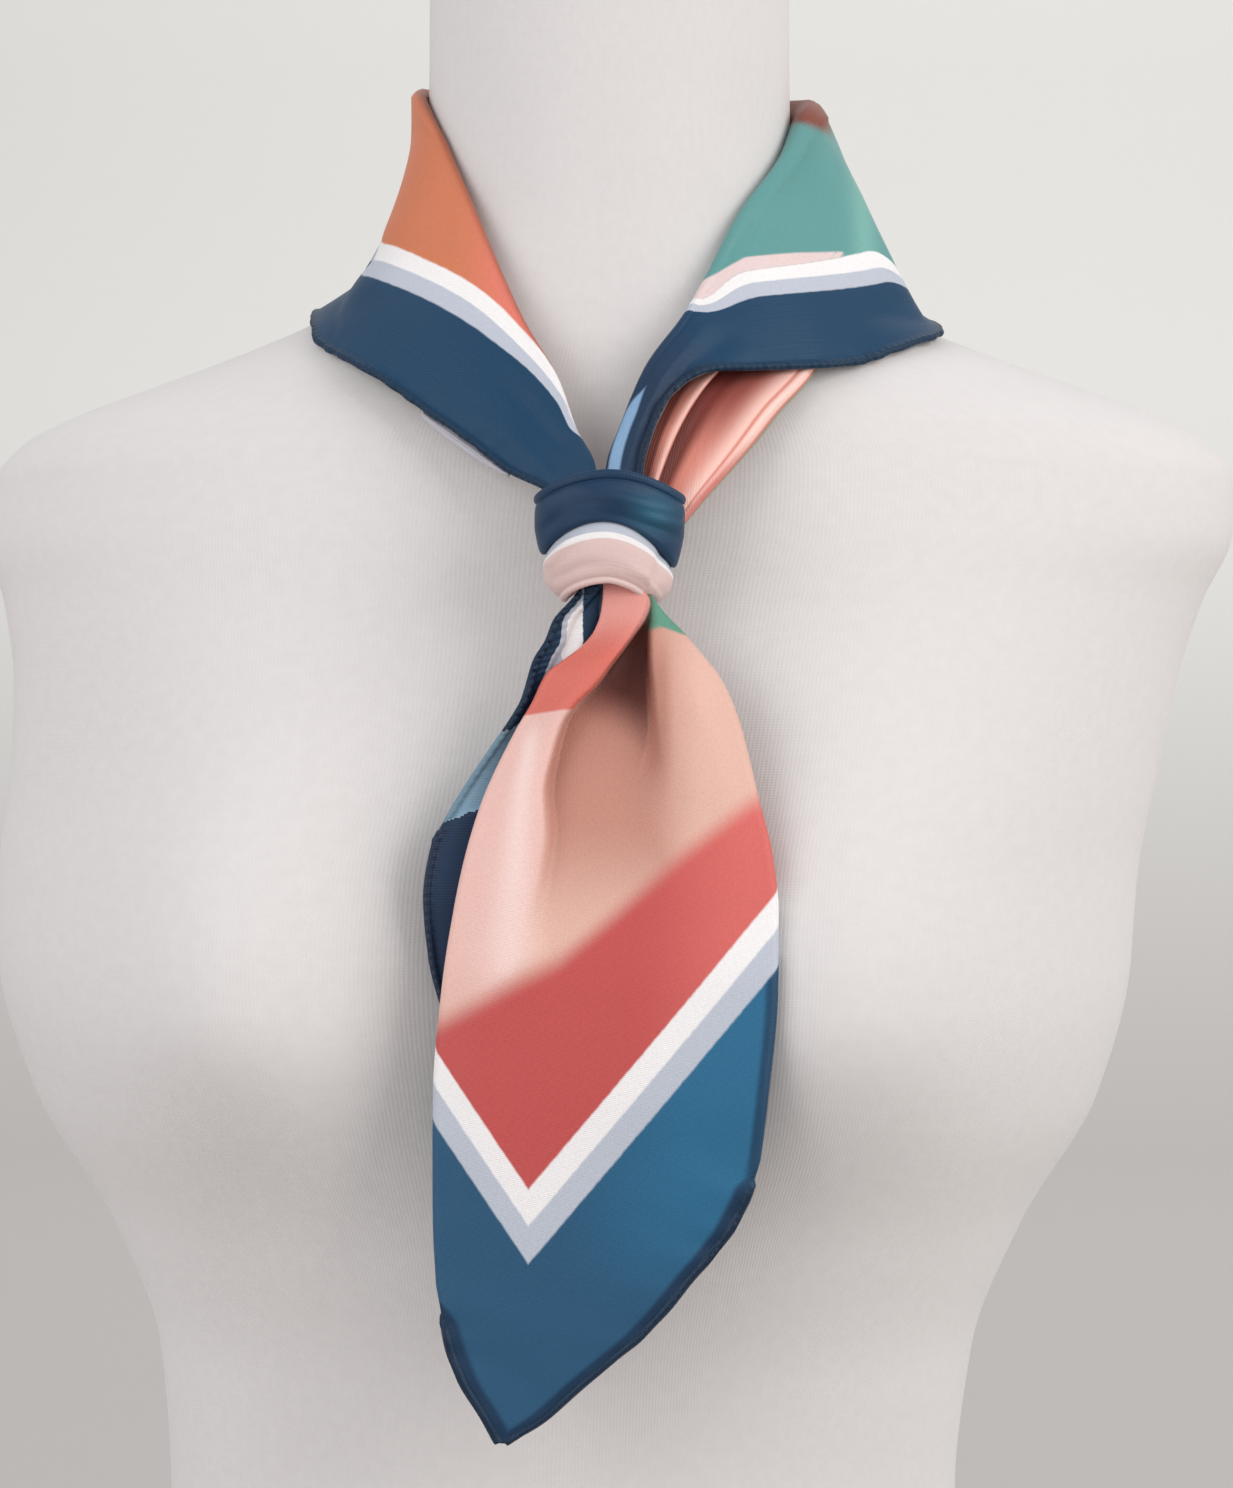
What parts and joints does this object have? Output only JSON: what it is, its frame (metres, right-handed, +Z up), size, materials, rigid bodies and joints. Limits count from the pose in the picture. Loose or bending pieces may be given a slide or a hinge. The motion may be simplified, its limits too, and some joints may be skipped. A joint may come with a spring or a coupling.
{
  "type": "silk square scarf on a dress form",
  "caption": "Printed silk square scarf tied in a single knot at the neck of a limbless dress form, with folded collar wings and hanging tails.",
  "frame": {"origin": "middle of the whole model's plan box, on the flat base of the dress form", "axes": "+Z up along the neck, -Y out of the chest, +X to the form's left"},
  "size_m": [0.3724, 0.2474, 0.654],
  "materials": {
    "form_cover": "matte fine knit jersey, off-white",
    "silk_orange": "satin silk twill, orange field",
    "silk_green": "satin silk twill, green field",
    "silk_navy": "satin silk twill, navy border",
    "silk_salmon": "satin silk twill, salmon to coral field",
    "silk_pale": "satin silk twill, pale field"
  },
  "bodies": {
    "root": {"dress_form": "form_cover", "left_wing": "silk_orange", "right_wing": "silk_green", "back_point": "silk_navy", "right_under_fold": "silk_salmon", "left_under_hem": "silk_pale", "knot_band": "silk_navy", "knot_core": "silk_salmon", "front_tail": "silk_salmon", "back_tail": "silk_navy"}
  },
  "joints": []
}
